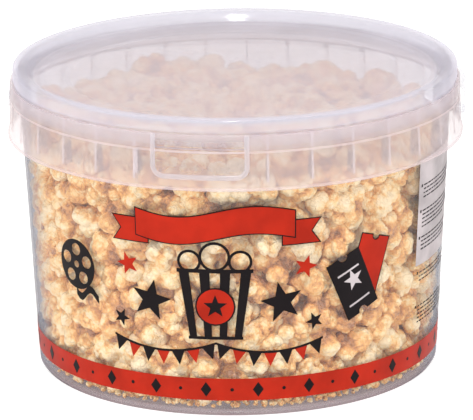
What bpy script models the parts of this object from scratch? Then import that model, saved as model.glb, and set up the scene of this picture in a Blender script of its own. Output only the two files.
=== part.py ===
"""Clear plastic bucket of popcorn, with a push-fit lid and a bail handle.

Units are metres and +Z is up. The origin is the centre of the base, on the
surface that the bucket stands on. The tear tab of the collar faces -Y. The
handle turns about a line along X through its two pins, and lies round the
back at rest.
"""

import math
import random

import bmesh
import bpy
from mathutils import Matrix, Vector

# Driving dimensions
LID_RADIUS = 0.1130
HEIGHT = 0.1551
BASE_WALL_RADIUS = 0.1023
WALL_DRAFT = 0.052
WALL = 0.0010
GAP = 0.0003
TURNED_STEPS = 48
CORE_STEPS = 28

# Base
FLOOR_TOP = 0.0030
FLOOR_BOTTOM = 0.0018
FOOT_OUTER_RADIUS = 0.1011
FOOT_INNER_RADIUS = 0.0978
FOOT_ROUNDING = 0.0010
INNER_CORNER = 0.0022

# Rim and collar
LID_CLEARANCE = 0.0014
WALL_TOP = HEIGHT - LID_CLEARANCE
FLANGE_TOP = 0.1399
FLANGE_BOTTOM = 0.1386
COLLAR_TOP = 0.1476
COLLAR_BOTTOM = 0.1198
COLLAR_TOP_RADIUS = 0.1143
COLLAR_BOTTOM_RADIUS = 0.1154
COLLAR_WALL = 0.0011
BEAD_HEIGHT = 0.0014
BEAD_PROUD = 0.0005

# Ribs between the wall and the collar
RIB_COUNT = 32
RIB_THICKNESS = 0.0010
RIB_BOTTOM = 0.1238
RIB_BITE = 0.0004

# Tear tab, a raised line shaped like a U on the collar
TAB_HALF_ANGLE = math.radians(11.7)
TAB_BOTTOM = 0.1266
TAB_CORNER = 0.0055
TAB_LINE_WIDTH = 0.0019
TAB_PROUD = 0.0004
TAB_SIDE_STEPS = 4
TAB_CORNER_STEPS = 4
TAB_FLOOR_STEPS = 5
TAB_TOP = COLLAR_TOP - 0.0011

# Lid
LID_THICKNESS = 0.0010
LID_SKIRT_BOTTOM = 0.1412
LID_SKIRT_RADIUS = 0.1122
LID_SKIRT_WALL = 0.0011
LID_EDGE_BOTTOM = COLLAR_TOP + 0.0011
LID_CREST_INNER_RADIUS = 0.1062
LID_WELL_RADIUS = 0.1032
LID_PANEL_TOP = 0.1502
LID_STEP_RADII = (0.0970, 0.0840)
LID_STEP_DROP = 0.0006
LID_STEP_RUN = 0.0010
LID_ROUNDING = 0.0010
LID_EDGE_ROUNDING = 0.0014
LID_CHANNEL_TOP = HEIGHT - 0.0011
LID_UNDERSIDE_SHIFT = 0.0004

# Handle
PIVOT_Z = 0.1340
HANDLE_INNER_RADIUS = 0.1166
HANDLE_THICKNESS = 0.0013
EYE_RADIUS = 0.0055
STRAP_CENTRE_Z = 0.1402
STRAP_HALF_HEIGHT = 0.0047
SWOOP_ANGLE = math.radians(11.0)
GRIP_HALF_HEIGHT = 0.0060
GRIP_HALF_ANGLE = math.radians(24.0)
GRIP_BLEND_ANGLE = math.radians(10.0)
STRAP_STEPS = 44
EYE_STEPS = 5
EYE_END_SHARE = 0.6
PIN_RADIUS = 0.0022
PIN_HOLE_RADIUS = 0.0026
PIN_HOLE_DEPTH = 0.0045
PIN_LENGTH = 0.0050
PIN_HEAD_RADIUS = 0.0031
PIN_HEAD_LENGTH = 0.0010
PIN_SIDES = 16
PIN_HEAD_BITE = 0.0008

# Popcorn
CORE_DEPTH = 0.0075
HEAP_EDGE_Z = 0.1290
HEAP_CENTRE_Z = 0.1400
HEAP_PROFILE_STEPS = 6
SIDE_PIECES = 155
TOP_PIECES = 57
PIECE_RADIUS = 0.0088
WALL_CLEARANCE = 0.0007
PIECE_SPREAD = 0.22
PIECE_LUMPS = 0.16
PIECE_SINK = 0.0015
LOWEST_PIECE_SHARE = 0.7
HIGHEST_PIECE_SHARE = 0.5
POPCORN_SEED = 11

GOLDEN_ANGLE = math.pi * (3.0 - math.sqrt(5.0))


def wall_radius(height):
    """Outer radius of the tapered wall."""
    return BASE_WALL_RADIUS + WALL_DRAFT * height


def collar_radius(height):
    """Outer radius of the collar, which widens a little towards its lower edge."""
    share = (COLLAR_TOP - height) / (COLLAR_TOP - COLLAR_BOTTOM)
    return COLLAR_TOP_RADIUS + (COLLAR_BOTTOM_RADIUS - COLLAR_TOP_RADIUS) * share


def smooth_step(value):
    """Eases a value between 0 and 1."""
    value = min(max(value, 0.0), 1.0)
    return value * value * (3.0 - 2.0 * value)


def clear_scene():
    for item in list(bpy.data.objects):
        bpy.data.objects.remove(item, do_unlink=True)


def new_collection(name):
    collection = bpy.data.collections.new(name)
    bpy.context.scene.collection.children.link(collection)
    return collection


def make_material(name, colour, roughness, alpha=1.0):
    material = bpy.data.materials.new(name)
    material.use_nodes = True
    shader = material.node_tree.nodes["Principled BSDF"]
    shader.inputs["Base Color"].default_value = (*colour, 1.0)
    shader.inputs["Roughness"].default_value = roughness
    shader.inputs["Metallic"].default_value = 0.0
    shader.inputs["Alpha"].default_value = alpha
    return material


def object_from_bmesh(name, shape, collection, material=None):
    mesh = bpy.data.meshes.new(name)
    shape.normal_update()
    bmesh.ops.recalc_face_normals(shape, faces=shape.faces)
    shape.to_mesh(mesh)
    shape.free()
    item = bpy.data.objects.new(name, mesh)
    collection.objects.link(item)
    if material is not None:
        mesh.materials.append(material)
    return item


def turned_object(name, profile, collection, material, steps=TURNED_STEPS):
    """Turns an outline of (radius, height) pairs about Z. It runs down the outer side."""
    mesh = bpy.data.meshes.new(name)
    points = [(radius, 0.0, height) for radius, height in profile]
    edges = [(index, index + 1) for index in range(len(points) - 1)]
    mesh.from_pydata(points, edges, [])
    item = bpy.data.objects.new(name, mesh)
    collection.objects.link(item)
    screw = item.modifiers.new("turn", "SCREW")
    screw.axis = "Z"
    screw.angle = math.tau
    screw.steps = steps
    screw.render_steps = steps
    screw.use_merge_vertices = True
    screw.merge_threshold = 0.00001
    apply_modifiers(item)
    item.data.materials.append(material)
    return item


def apply_modifiers(item):
    """Turns an object's evaluated shape into its own mesh."""
    bpy.context.view_layer.update()
    graph = bpy.context.evaluated_depsgraph_get()
    mesh = bpy.data.meshes.new_from_object(item.evaluated_get(graph))
    old_mesh = item.data
    item.modifiers.clear()
    item.data = mesh
    mesh.name = item.name
    if old_mesh.users == 0:
        bpy.data.meshes.remove(old_mesh)


def boolean(item, operation, collection, solver="EXACT"):
    """Joins or cuts with all objects of a collection, then removes them."""
    modifier = item.modifiers.new(operation.lower(), "BOOLEAN")
    modifier.operation = operation
    modifier.operand_type = "COLLECTION"
    modifier.collection = collection
    modifier.solver = solver
    apply_modifiers(item)
    for piece in list(collection.objects):
        bpy.data.objects.remove(piece, do_unlink=True)
    bpy.data.collections.remove(collection)


def keep_largest_shell(item):
    """Drops scraps and sealed hollows, so that one closed shell is left."""
    shape = bmesh.new()
    shape.from_mesh(item.data)
    waiting = set(shape.verts)
    shells = []
    while waiting:
        start = waiting.pop()
        shell = [start]
        stack = [start]
        while stack:
            vertex = stack.pop()
            for edge in vertex.link_edges:
                other = edge.other_vert(vertex)
                if other in waiting:
                    waiting.remove(other)
                    shell.append(other)
                    stack.append(other)
        shells.append(shell)
    largest = max(shells, key=len)
    spare = [vertex for shell in shells if shell is not largest for vertex in shell]
    bmesh.ops.delete(shape, geom=spare, context="VERTS")
    shape.to_mesh(item.data)
    shape.free()


def shade_round(item, angle_deg=35.0):
    item.data.shade_smooth()
    item.data.set_sharp_from_angle(angle=math.radians(angle_deg))


def bucket_profile():
    """Section of the moulding: floor, wall, rim, flange, collar and foot."""
    inner_foot = wall_radius(FLOOR_TOP) - WALL
    wall_inner_start = FLOOR_TOP + INNER_CORNER
    collar_inner_top = COLLAR_TOP_RADIUS - COLLAR_WALL
    collar_inner_bottom = COLLAR_BOTTOM_RADIUS - COLLAR_WALL
    bead_radius = COLLAR_BOTTOM_RADIUS + BEAD_PROUD
    bead_top = COLLAR_BOTTOM + BEAD_HEIGHT
    return [
        (0.0, FLOOR_TOP),
        (inner_foot - INNER_CORNER, FLOOR_TOP),
        (inner_foot - 0.3 * INNER_CORNER, FLOOR_TOP + 0.3 * INNER_CORNER),
        (wall_radius(wall_inner_start) - WALL, wall_inner_start),
        (wall_radius(WALL_TOP) - WALL, WALL_TOP),
        (wall_radius(WALL_TOP), WALL_TOP),
        (wall_radius(FLANGE_TOP), FLANGE_TOP),
        (collar_inner_top, FLANGE_TOP),
        (collar_inner_top, COLLAR_TOP),
        (COLLAR_TOP_RADIUS, COLLAR_TOP),
        (collar_radius(bead_top), bead_top),
        (bead_radius, bead_top),
        (bead_radius, COLLAR_BOTTOM),
        (collar_inner_bottom, COLLAR_BOTTOM),
        (collar_radius(FLANGE_BOTTOM) - COLLAR_WALL, FLANGE_BOTTOM),
        (wall_radius(FLANGE_BOTTOM), FLANGE_BOTTOM),
        (wall_radius(FLOOR_TOP), FLOOR_TOP),
        (FOOT_OUTER_RADIUS + 0.5 * FOOT_ROUNDING, FOOT_ROUNDING),
        (FOOT_OUTER_RADIUS, 0.0),
        (FOOT_INNER_RADIUS, 0.0),
        (FOOT_INNER_RADIUS - FOOT_ROUNDING, FOOT_ROUNDING),
        (FOOT_INNER_RADIUS - FOOT_ROUNDING, FLOOR_BOTTOM),
        (0.0, FLOOR_BOTTOM),
    ]


def add_rib(angle, collection):
    """One radial rib, which reaches a little into the wall and the collar."""
    low_in = wall_radius(RIB_BOTTOM) - RIB_BITE
    low_out = collar_radius(RIB_BOTTOM) - COLLAR_WALL + RIB_BITE
    top = FLANGE_BOTTOM + RIB_BITE
    high_in = wall_radius(top) - RIB_BITE
    high_out = collar_radius(top) - COLLAR_WALL + RIB_BITE
    shape = bmesh.new()
    bmesh.ops.create_cube(shape, size=1.0)
    for vertex in shape.verts:
        inner = low_in if vertex.co.z < 0.0 else high_in
        outer = low_out if vertex.co.z < 0.0 else high_out
        radius = inner if vertex.co.y > 0.0 else outer
        height = RIB_BOTTOM if vertex.co.z < 0.0 else top
        vertex.co = Vector((vertex.co.x * RIB_THICKNESS, -radius, height))
    turn = Matrix.Rotation(angle, 3, "Z")
    bmesh.ops.rotate(shape, cent=(0.0, 0.0, 0.0), matrix=turn, verts=shape.verts)
    object_from_bmesh("rib", shape, collection)


def tab_path():
    """Middle of the tear line as (angle, height) pairs, from left top to right top."""
    corner_angle = TAB_CORNER / COLLAR_BOTTOM_RADIUS
    corner_top = TAB_BOTTOM + TAB_CORNER
    left = []
    for step in range(TAB_SIDE_STEPS):
        height = TAB_TOP + (corner_top - TAB_TOP) * step / TAB_SIDE_STEPS
        left.append((-TAB_HALF_ANGLE, height))
    for step in range(TAB_CORNER_STEPS + 1):
        turn = 0.5 * math.pi * step / TAB_CORNER_STEPS
        angle = -TAB_HALF_ANGLE + corner_angle * (1.0 - math.cos(turn))
        height = corner_top - TAB_CORNER * math.sin(turn)
        left.append((angle, height))
    inner_angle = TAB_HALF_ANGLE - corner_angle
    floor_line = []
    for step in range(1, TAB_FLOOR_STEPS):
        angle = -inner_angle + 2.0 * inner_angle * step / TAB_FLOOR_STEPS
        floor_line.append((angle, TAB_BOTTOM))
    right = [(-angle, height) for angle, height in reversed(left)]
    return left + floor_line + right


def add_tear_line(collection):
    """Raised line of the tear tab, swept along its path on the collar."""
    path = tab_path()
    shape = bmesh.new()
    rings = []
    for index, (angle, height) in enumerate(path):
        before = path[max(index - 1, 0)]
        after = path[min(index + 1, len(path) - 1)]
        along = (after[0] - before[0]) * COLLAR_BOTTOM_RADIUS
        rise = after[1] - before[1]
        length = math.hypot(along, rise)
        side_angle = -rise / length * 0.5 * TAB_LINE_WIDTH / COLLAR_BOTTOM_RADIUS
        side_height = along / length * 0.5 * TAB_LINE_WIDTH
        ring = []
        for side, proud in ((-1, -RIB_BITE), (1, -RIB_BITE), (1, TAB_PROUD), (-1, TAB_PROUD)):
            point_angle = angle + side * side_angle
            point_height = height + side * side_height
            radius = collar_radius(point_height) + proud
            co = (radius * math.sin(point_angle), -radius * math.cos(point_angle), point_height)
            ring.append(shape.verts.new(co))
        rings.append(ring)
    for first, second in zip(rings, rings[1:]):
        for corner in range(4):
            following = (corner + 1) % 4
            shape.faces.new((first[corner], first[following], second[following], second[corner]))
    shape.faces.new(rings[0])
    shape.faces.new(rings[-1])
    object_from_bmesh("tear_line", shape, collection)


def add_pin_hole(side, collection):
    """Cutter for the hole that the handle's pin turns in."""
    shape = bmesh.new()
    bmesh.ops.create_cone(
        shape,
        cap_ends=True,
        segments=PIN_SIDES,
        radius1=PIN_HOLE_RADIUS,
        radius2=PIN_HOLE_RADIUS,
        depth=2.0 * PIN_HOLE_DEPTH,
    )
    place_along_x(shape, side * COLLAR_BOTTOM_RADIUS)
    cutter = object_from_bmesh("pin_hole", shape, collection)
    cutter.hide_render = True
    cutter.display_type = "WIRE"


def place_along_x(shape, centre_x):
    """Turns a cylinder from Z to the X direction, flats up, and moves it to the pivot."""
    turn = Matrix.Rotation(math.pi / 2.0, 3, "Y") @ Matrix.Rotation(math.pi / PIN_SIDES, 3, "Z")
    bmesh.ops.rotate(shape, cent=(0.0, 0.0, 0.0), matrix=turn, verts=shape.verts)
    bmesh.ops.translate(shape, vec=(centre_x, 0.0, PIVOT_Z), verts=shape.verts)


def make_bucket(collection, material):
    bucket = turned_object("bucket", bucket_profile(), collection, material)
    additions = new_collection("bucket_additions")
    spacing = math.tau / RIB_COUNT
    for index in range(RIB_COUNT):
        angle = (index + 0.5) * spacing
        inside_tab = min(angle, math.tau - angle) < TAB_HALF_ANGLE
        if not inside_tab:
            add_rib(angle, additions)
    add_tear_line(additions)
    boolean(bucket, "UNION", additions)
    holes = new_collection("bucket_cutters")
    for side in (-1, 1):
        add_pin_hole(side, holes)
    boolean(bucket, "DIFFERENCE", holes)
    shade_round(bucket)
    return bucket


def lid_profile():
    """Section of the lid: stepped panel, raised crest, edge and inner skirt."""
    outer = LID_STEP_RADII[0]
    inner = LID_STEP_RADII[1]
    middle_top = LID_PANEL_TOP - LID_STEP_DROP
    centre_top = middle_top - LID_STEP_DROP
    skirt_inner = LID_SKIRT_RADIUS - LID_SKIRT_WALL
    under = LID_UNDERSIDE_SHIFT
    return [
        (0.0, centre_top),
        (inner, centre_top),
        (inner + LID_STEP_RUN, middle_top),
        (outer, middle_top),
        (outer + LID_STEP_RUN, LID_PANEL_TOP),
        (LID_WELL_RADIUS, LID_PANEL_TOP),
        (LID_CREST_INNER_RADIUS - 0.3 * LID_ROUNDING, HEIGHT - LID_ROUNDING),
        (LID_CREST_INNER_RADIUS + 0.7 * LID_ROUNDING, HEIGHT),
        (LID_RADIUS - LID_EDGE_ROUNDING, HEIGHT),
        (LID_RADIUS - 0.3 * LID_EDGE_ROUNDING, HEIGHT - 0.3 * LID_EDGE_ROUNDING),
        (LID_RADIUS, HEIGHT - LID_EDGE_ROUNDING),
        (LID_RADIUS, LID_EDGE_BOTTOM),
        (LID_SKIRT_RADIUS, LID_EDGE_BOTTOM),
        (LID_SKIRT_RADIUS, LID_SKIRT_BOTTOM),
        (skirt_inner, LID_SKIRT_BOTTOM),
        (skirt_inner, LID_CHANNEL_TOP),
        (LID_CREST_INNER_RADIUS + LID_THICKNESS, LID_CHANNEL_TOP),
        (LID_WELL_RADIUS + LID_THICKNESS, LID_PANEL_TOP - LID_THICKNESS),
        (outer + LID_STEP_RUN + under, LID_PANEL_TOP - LID_THICKNESS),
        (outer + under, middle_top - LID_THICKNESS),
        (inner + LID_STEP_RUN + under, middle_top - LID_THICKNESS),
        (inner + under, centre_top - LID_THICKNESS),
        (0.0, centre_top - LID_THICKNESS),
    ]


def make_lid(collection, material):
    lid = turned_object("lid", lid_profile(), collection, material)
    shade_round(lid)
    return lid


def strap_section(angle):
    """Middle height and half height of the strap at an angle past its nearer pivot."""
    lift = smooth_step(angle / SWOOP_ANGLE)
    centre = PIVOT_Z + (STRAP_CENTRE_Z - PIVOT_Z) * lift
    half = EYE_RADIUS + (STRAP_HALF_HEIGHT - EYE_RADIUS) * lift
    from_back = 0.5 * math.pi - angle
    grip = 1.0 - smooth_step((from_back - GRIP_HALF_ANGLE) / GRIP_BLEND_ANGLE)
    half += (GRIP_HALF_HEIGHT - STRAP_HALF_HEIGHT) * grip
    return centre, half


def handle_sections():
    """Sections (angle from +X towards the back, middle height, half height)."""
    sections = []
    eye_angle = EYE_RADIUS / HANDLE_INNER_RADIUS
    for step in range(EYE_STEPS):
        turn = 0.5 * math.pi * (step + EYE_END_SHARE) / (EYE_STEPS + EYE_END_SHARE)
        sections.append((-eye_angle * math.cos(turn), PIVOT_Z, EYE_RADIUS * math.sin(turn)))
    for step in range(STRAP_STEPS // 2 + 1):
        angle = 0.5 * math.pi * step / (STRAP_STEPS // 2)
        sections.append((angle, *strap_section(angle)))
    mirrored = [(math.pi - angle, centre, half) for angle, centre, half in reversed(sections[:-1])]
    return sections + mirrored


def make_handle(collection, material):
    """The bail: a thin strap round the back, with an eye and a pin at each end."""
    outer_radius = HANDLE_INNER_RADIUS + HANDLE_THICKNESS
    shape = bmesh.new()
    rings = []
    for angle, centre, half in handle_sections():
        ring = []
        corners = (
            (HANDLE_INNER_RADIUS, -half),
            (outer_radius, -half),
            (outer_radius, half),
            (HANDLE_INNER_RADIUS, half),
        )
        for radius, rise in corners:
            co = (radius * math.cos(angle), radius * math.sin(angle), centre + rise)
            ring.append(shape.verts.new(co))
        rings.append(ring)
    for first, second in zip(rings, rings[1:]):
        for corner in range(4):
            following = (corner + 1) % 4
            shape.faces.new((first[corner], first[following], second[following], second[corner]))
    shape.faces.new(rings[0])
    shape.faces.new(rings[-1])
    handle = object_from_bmesh("handle", shape, collection, material)
    pins = new_collection("handle_pins")
    for side in (-1, 1):
        add_pin(side, pins)
    boolean(handle, "UNION", pins)
    shade_round(handle)
    return handle


def add_pin(side, collection):
    """Pin with a wider head, which holds the handle in the collar."""
    pin_outer = HANDLE_INNER_RADIUS + 0.5 * HANDLE_THICKNESS
    pin_inner = pin_outer - PIN_LENGTH
    shape = bmesh.new()
    bmesh.ops.create_cone(
        shape,
        cap_ends=True,
        segments=PIN_SIDES,
        radius1=PIN_RADIUS,
        radius2=PIN_RADIUS,
        depth=PIN_LENGTH,
    )
    place_along_x(shape, side * 0.5 * (pin_outer + pin_inner))
    object_from_bmesh("pin", shape, collection)
    head = bmesh.new()
    bmesh.ops.create_cone(
        head,
        cap_ends=True,
        segments=PIN_SIDES,
        radius1=PIN_HEAD_RADIUS,
        radius2=PIN_HEAD_RADIUS,
        depth=PIN_HEAD_LENGTH,
    )
    place_along_x(head, side * (pin_inner + PIN_HEAD_BITE - 0.5 * PIN_HEAD_LENGTH))
    object_from_bmesh("pin_head", head, collection)


def heap_height(radius):
    """Height of the heap's bare surface at a distance from the middle."""
    share = min(radius / wall_radius(HEAP_EDGE_Z), 1.0)
    return HEAP_CENTRE_Z - (HEAP_CENTRE_Z - HEAP_EDGE_Z) * share ** 2


def core_profile():
    """Outline of the core, a domed plug that follows the wall and the heap."""
    bottom = FLOOR_TOP + GAP
    rim = wall_radius(HEAP_EDGE_Z) - WALL - CORE_DEPTH
    points = []
    for step in range(HEAP_PROFILE_STEPS):
        radius = rim * step / (HEAP_PROFILE_STEPS - 1)
        points.append((radius, heap_height(radius) - CORE_DEPTH))
    points.append((wall_radius(bottom) - WALL - CORE_DEPTH, bottom))
    points.append((0.0, bottom))
    return points


def add_piece(centre, radius, draw, collection):
    """One popped piece: a lumpy ball, kept inside the bucket."""
    shape = bmesh.new()
    bmesh.ops.create_icosphere(shape, subdivisions=1, radius=1.0)
    stretch = Vector((draw.uniform(0.85, 1.2), draw.uniform(0.85, 1.2), draw.uniform(0.8, 1.05)))
    turn = Matrix.Rotation(draw.uniform(0.0, math.tau), 3, "Z")
    turn = turn @ Matrix.Rotation(draw.uniform(0.0, math.pi), 3, "X")
    for vertex in shape.verts:
        lump = radius * draw.uniform(1.0 - PIECE_LUMPS, 1.0 + PIECE_LUMPS)
        local = Vector((vertex.co.x * stretch.x, vertex.co.y * stretch.y, vertex.co.z * stretch.z))
        vertex.co = centre + turn @ local * lump
        vertex.co.z = max(vertex.co.z, FLOOR_TOP + 1.5 * GAP)
        limit = wall_radius(vertex.co.z) - WALL - WALL_CLEARANCE
        reach = math.hypot(vertex.co.x, vertex.co.y)
        if reach > limit:
            vertex.co.x *= limit / reach
            vertex.co.y *= limit / reach
    object_from_bmesh("piece", shape, collection)


def make_popcorn(collection, material):
    """The heap: a core with the pieces that show against the wall and on top."""
    heap = turned_object("popcorn", core_profile(), collection, material, CORE_STEPS)
    pieces = new_collection("popcorn_pieces")
    draw = random.Random(POPCORN_SEED)
    lowest = FLOOR_TOP + LOWEST_PIECE_SHARE * PIECE_RADIUS
    highest = HEAP_EDGE_Z - HIGHEST_PIECE_SHARE * PIECE_RADIUS
    for index in range(SIDE_PIECES):
        height = lowest + (highest - lowest) * (index + 0.5) / SIDE_PIECES
        angle = index * GOLDEN_ANGLE
        radius = PIECE_RADIUS * draw.uniform(1.0 - PIECE_SPREAD, 1.0 + PIECE_SPREAD)
        reach = wall_radius(height) - WALL - CORE_DEPTH - PIECE_SINK + draw.uniform(0.0, PIECE_SINK)
        centre = Vector((reach * math.cos(angle), reach * math.sin(angle), height))
        add_piece(centre, radius, draw, pieces)
    top_reach = wall_radius(HEAP_EDGE_Z) - WALL - CORE_DEPTH
    for index in range(TOP_PIECES):
        reach = top_reach * math.sqrt((index + 0.5) / TOP_PIECES)
        angle = index * GOLDEN_ANGLE
        radius = PIECE_RADIUS * draw.uniform(1.0 - PIECE_SPREAD, 1.0 + PIECE_SPREAD)
        height = heap_height(reach) - CORE_DEPTH + draw.uniform(-PIECE_SINK, PIECE_SINK)
        centre = Vector((reach * math.cos(angle), reach * math.sin(angle), height))
        add_piece(centre, radius, draw, pieces)
    boolean(heap, "UNION", pieces, solver="MANIFOLD")
    keep_largest_shell(heap)
    shade_round(heap, 60.0)
    return heap


def main():
    clear_scene()
    bucket_of_popcorn = new_collection("bucket_of_popcorn")
    clear_plastic = make_material("clear_plastic", (0.84, 0.83, 0.86), 0.12, 0.35)
    lid_plastic = make_material("lid_plastic", (0.82, 0.80, 0.84), 0.25, 0.55)
    popped_corn = make_material("popped_corn", (0.83, 0.62, 0.38), 0.60)
    make_bucket(bucket_of_popcorn, clear_plastic)
    make_lid(bucket_of_popcorn, lid_plastic)
    make_handle(bucket_of_popcorn, clear_plastic)
    make_popcorn(bucket_of_popcorn, popped_corn)


main()
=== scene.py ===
"""Looks of the clear bucket of caramel popcorn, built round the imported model.

Units are metres and +Z is up. Angles run from -Y towards +X, so that 0 is the
middle of the tear tab and the camera stands a little to the right of it.
"""

import math

import bmesh
import bpy
import numpy as np
from mathutils import Matrix, Vector


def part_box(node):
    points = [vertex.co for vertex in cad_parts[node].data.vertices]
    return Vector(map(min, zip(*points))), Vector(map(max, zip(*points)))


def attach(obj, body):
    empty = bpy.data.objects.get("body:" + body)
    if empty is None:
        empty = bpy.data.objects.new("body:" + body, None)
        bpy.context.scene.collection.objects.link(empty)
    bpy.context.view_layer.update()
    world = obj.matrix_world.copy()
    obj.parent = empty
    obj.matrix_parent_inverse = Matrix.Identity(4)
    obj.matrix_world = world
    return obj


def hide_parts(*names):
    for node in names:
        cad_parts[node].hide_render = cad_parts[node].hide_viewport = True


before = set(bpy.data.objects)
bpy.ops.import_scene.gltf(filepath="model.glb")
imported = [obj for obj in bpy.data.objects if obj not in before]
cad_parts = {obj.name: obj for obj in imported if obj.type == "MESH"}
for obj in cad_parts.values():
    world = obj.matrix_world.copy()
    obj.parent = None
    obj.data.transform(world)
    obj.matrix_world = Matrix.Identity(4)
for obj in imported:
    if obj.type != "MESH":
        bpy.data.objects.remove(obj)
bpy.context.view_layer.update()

# Driving dimensions, the same as the solids have
LID_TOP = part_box("lid")[1].z
LID_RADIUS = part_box("lid")[1].x
BASE_WALL_RADIUS = 0.1023
WALL_DRAFT = 0.052
WALL = 0.0010
FLOOR_TOP = 0.0030
FLOOR_BOTTOM = 0.0018
FOOT_OUTER_RADIUS = 0.1011
FOOT_INNER_RADIUS = 0.0978
FOOT_LEAN = 0.0005
FOOT_STEP = 0.0010
FOOT_GAP = 0.0001
WALL_TOP = LID_TOP - 0.0014
FLANGE_TOP = 0.1399
FLANGE_BOTTOM = 0.1386
FLANGE_LINE_TOP = FLANGE_TOP - 0.0001
FLANGE_LINE_BOTTOM = FLANGE_BOTTOM + 0.0003
FLANGE_BITE = 0.0003
COLLAR_TOP = 0.1476
COLLAR_BOTTOM = 0.1198
COLLAR_TOP_RADIUS = 0.1143
COLLAR_BOTTOM_RADIUS = 0.1154
COLLAR_WALL = 0.0011
COLLAR_INNER_TOP = COLLAR_TOP_RADIUS - COLLAR_WALL
BEAD_TOP = COLLAR_BOTTOM + 0.0014
BEAD_PROUD = 0.0005
SHELL_STEPS = 256
SHARP_DEG = 35.0
TINY = 1e-9

# Roundings of the corners of a section
FINE_ROUND = 0.0003
SLIGHT_ROUND = 0.0004
FLANGE_ROUND = 0.0005
SMALL_ROUND = 0.0006
SOFT_ROUND = 0.0008
BROAD_ROUND = 0.0010
CREST_EDGE_ROUND = 0.0014
CREST_ROUND = 0.0026

# Ribs and tear tab of the collar
RIB_COUNT = 32
RIB_THICKNESS = 0.0009
RIB_BOTTOM = 0.1238
SHORT_RIB_THICKNESS = 0.0007
WIDE_RIB_ANGLE = math.radians(-16.5)
WIDE_RIB_THICKNESS = 0.0023
RIB_BITE = 0.0002
ROOT_DEPTH = 0.0006
TAB_HALF_ANGLE = math.radians(11.7)
TAB_BOTTOM = 0.1266
TAB_CORNER = 0.0055
TAB_LINE_WIDTH = 0.0026
TAB_PROUD = 0.0004
TAB_BITE = 0.0002

# Lid
LID_THICKNESS = 0.0010
SKIRT_BOTTOM = 0.1412
SKIRT_RADIUS = 0.1122
SKIRT_WALL = 0.0011
LID_EDGE_BOTTOM = COLLAR_TOP + 0.0011
CREST_INNER_RADIUS = 0.1062
WELL_RADIUS = 0.1032
PANEL_TOP = 0.1502
STEP_RADII = (0.0970, 0.0840)
STEP_DROP = 0.0006
STEP_RUN = 0.0026
CREST_SHIFT = 0.6 * LID_THICKNESS
STEP_SHIFT = 0.4 * LID_THICKNESS
LID_UNDERSIDE = PANEL_TOP - 2.0 * STEP_DROP - LID_THICKNESS

# Handle
PIVOT_Z = 0.1340
HANDLE_INNER_RADIUS = 0.1166
HANDLE_THICKNESS = 0.0013
STRAP_BEVEL = 0.0004
EYE_RADIUS = 0.0055
STRAP_CENTRE_Z = 0.1402
STRAP_HALF_HEIGHT = 0.0047
SWOOP_ANGLE = math.radians(11.0)
GRIP_HALF_HEIGHT = 0.0060
GRIP_HALF_ANGLE = math.radians(24.0)
GRIP_BLEND_ANGLE = math.radians(10.0)
PIN_RADIUS = 0.0022
PIN_LENGTH = 0.0050
PIN_HEAD_RADIUS = 0.0031
PIN_HEAD_LENGTH = 0.0010

# Heap
HEAP_EDGE_Z = 0.1290
HEAP_CENTRE_Z = 0.1400
HEAP_MIDDLE_Z = 0.070
HEAP_SETTLED = 0.0040
HEAP_TILT = 0.025
RIPPLE_HEIGHT = 0.0035
WALL_CLEARANCE = 0.0003
CORE_DEPTH = 0.0170
CORE_SUNK = 0.0090
CORE_LIFT = 0.0004
SEED = 7

# Flakes: a layer along the wall, one behind it, one on top, and crumbs on the floor
FLAKE_RADIUS = 0.0101
FLAKE_FORMS = 24
SIDE_FLAKES = 300
BEHIND_FLAKES = 220
BEHIND_INSET = 0.0105
TOP_FLAKES = 140
TOP_JITTER = (-0.0050, 0.0040)
SIDE_SIZES = (0.78, 1.20)
TOP_SIZES = (0.80, 1.20)
STRETCHES = (0.86, 1.16)
SUNK_SHARE = 0.85
CLOSE_PACKING = 0.84
LOOSE_PACKING = 0.90
CROWDING = 0.35
CRUMB_FORMS = 6
CRUMB_COUNT = 520
CRUMB_RADII = (0.0008, 0.0021)
CRUMB_PILE = 0.006
CRUMB_SPREAD = 0.004

# Form of a flake, in flake radii, and what a burst one has more or less of
BASE_REACH = 0.80
LOBE_COUNTS = (8, 12)
LOBE_OFFSETS = (0.34, 0.54)
LOBE_RADII = (0.42, 0.60)
NUB_COUNTS = (45, 75)
NUB_HEIGHTS = (0.10, 0.16)
WAVES = 5
WAVE_PACES = (3.0, 8.0)
BURST_LOBES = 2
BURST_OPENING = 0.14
BURST_THINNING = 0.05
CREASE_WIDTH = 0.035
CREASE_DEPTH = 0.05
FOLD_WIDTH = 0.05
FOLD_DEPTH = 0.5
NUB_ROUNDNESS = 5.0

# How toasted a flake is: what it starts from, and what each feature adds. The depth term darkens the deeper
# parts of a flake, partly for caramel gathered there and partly as painted shade.
TOAST_START = 0.06
TOAST_CREASE = 0.32
TOAST_FOLD = 0.20
TOAST_DEPTH_AND_SHADE = 0.36
TOAST_WAVES = 0.08
TONE_SPREAD = 0.12
CRUMB_TONE_SPREAD = 0.10
# Dark coat of the plug inside the heap: painted shade of the deep popcorn
CORE_SHADE_TOAST = 0.65

# Print
BAND_BOTTOM = 0.0084
BAND_TOP = 0.0200
BAND_MARKS = 25
PRINT_ANGLE = math.radians(3.0)
REEL_ANGLE = math.radians(-43.0)
TICKET_ANGLE = math.radians(41.0)
PANEL_ANGLES = (math.radians(67.0), math.radians(104.0))
PANEL_HEIGHTS = (0.0620, 0.1180)
PRINT_CELL = 0.0025
PRINT_LIFT = 0.00003
PRINT_THICKNESS = 0.00007
RIBBON_Z = 0.1000
CARTON_Z = 0.0590
GARLAND_Z = 0.0385
REEL_Z = 0.0700
TICKET_Z = 0.0680
OUTLINE_WIDTH = 0.0006
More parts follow.
